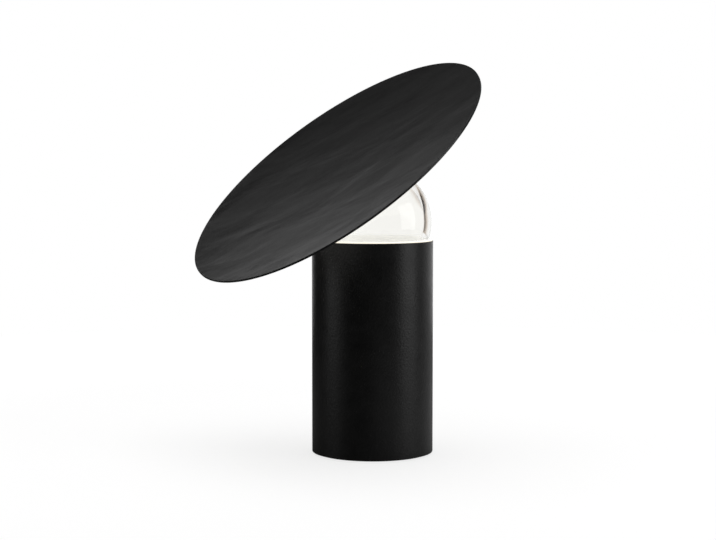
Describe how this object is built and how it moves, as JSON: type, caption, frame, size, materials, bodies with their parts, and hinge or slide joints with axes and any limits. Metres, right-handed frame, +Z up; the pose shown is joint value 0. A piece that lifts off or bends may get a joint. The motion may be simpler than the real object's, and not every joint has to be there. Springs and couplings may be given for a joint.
{
  "type": "table lamp",
  "caption": "Table lamp: an upright tube, a clear glass ball that turns in the tube's mouth, and a wide dished disc on the ball that tilts and throws the light back down.",
  "frame": {"origin": "centre of the underside of the foot, on the tube's axis", "axes": "+Z up along the tube; +Y to the back, where the inlet and the push button are; +X to the right as seen from the front"},
  "size_m": [0.2793, 0.3139, 0.3877],
  "materials": {
    "black_powder_coat": "matte black powder coat with a fine texture",
    "black_brushed_aluminium": "black anodised, hand-brushed, satin",
    "black_anodised": "black anodised, satin",
    "clear_glass": "clear polished glass",
    "frosted_lens": "frosted glass, lit warm white",
    "seat_silicone": "translucent warm white silicone",
    "white_reflector": "matte white reflector",
    "white_plastic": "moulded white plastic",
    "black_plastic": "moulded black plastic",
    "led_phosphor": "yellow phosphor, lit",
    "circuit_board": "green solder mask",
    "lead_sheath": "black silicone lead",
    "foot_rubber": "black cellular rubber",
    "zinc_steel": "zinc-plated steel",
    "turned_aluminium": "turned aluminium",
    "cast_iron": "rough cast iron",
    "nickel": "nickel-plated"
  },
  "bodies": {
    "base": {"tube_body": "black_powder_coat", "foot_pad": "foot_rubber", "base_plate": "zinc_steel", "base_screw_1": "zinc_steel", "base_screw_2": "zinc_steel", "base_screw_3": "zinc_steel", "ballast": "cast_iron", "ballast_screw": "zinc_steel", "lower_rod_1": "zinc_steel", "lower_rod_2": "zinc_steel", "lower_rod_3": "zinc_steel", "upper_rod_1": "zinc_steel", "upper_rod_2": "zinc_steel", "upper_rod_3": "zinc_steel", "heat_sink": "turned_aluminium", "led_board": "white_plastic", "led_chip": "led_phosphor", "led_holder": "white_plastic", "led_lens": "frosted_lens", "led_screw_1": "zinc_steel", "led_screw_2": "zinc_steel", "reflector_cup": "white_reflector", "seat_carrier": "turned_aluminium", "carrier_screw_1": "zinc_steel", "carrier_screw_2": "zinc_steel", "carrier_screw_3": "zinc_steel", "driver_tray": "black_plastic", "tray_screw_1": "zinc_steel", "tray_screw_2": "zinc_steel", "driver_board": "circuit_board", "driver_inductor": "cast_iron", "driver_capacitor_1": "black_plastic", "driver_capacitor_2": "black_plastic", "driver_terminal": "white_plastic", "inlet_body": "black_plastic", "inlet_pin": "nickel", "inlet_nut": "zinc_steel", "switch_housing": "black_anodised", "switch_base": "black_plastic", "switch_nut": "zinc_steel", "switch_spring": "zinc_steel", "inlet_lead": "lead_sheath", "switch_lead": "lead_sheath", "led_lead": "lead_sheath"},
    "button": {"switch_button": "black_anodised"},
    "seat": {"seat_ring": "seat_silicone"},
    "ball": {"glass_ball": "clear_glass", "hub_cap": "turned_aluminium", "hub_gasket": "seat_silicone", "hub_clamp": "turned_aluminium", "hub_magnet": "nickel"},
    "shade": {"shade_disc": "black_brushed_aluminium", "shade_stud": "zinc_steel"}
  },
  "joints": [
    {"name": "button_press", "type": "slide", "parent": "base", "child": "button", "axis": [0, -1, 0], "range_m": [0, 0.002], "stiffness_N_per_m": 600, "springref_m": -0.002, "deforming": ["switch_spring"]},
    {"name": "seat_turn", "type": "hinge", "parent": "base", "child": "seat", "pos_m": [0, 0, 0.22925], "axis": [0, 0, 1], "continuous": true},
    {"name": "ball_tilt", "type": "hinge", "parent": "seat", "child": "ball", "pos_m": [0, 0, 0.22925], "axis": [0.5158, -0.8567, 0], "range_deg": [-114.32, 35.68]},
    {"name": "disc_spin", "type": "hinge", "parent": "ball", "child": "shade", "pos_m": [0, 0, 0.22925], "axis": [-0.5429, -0.3268, 0.7736], "continuous": true}
  ]
}
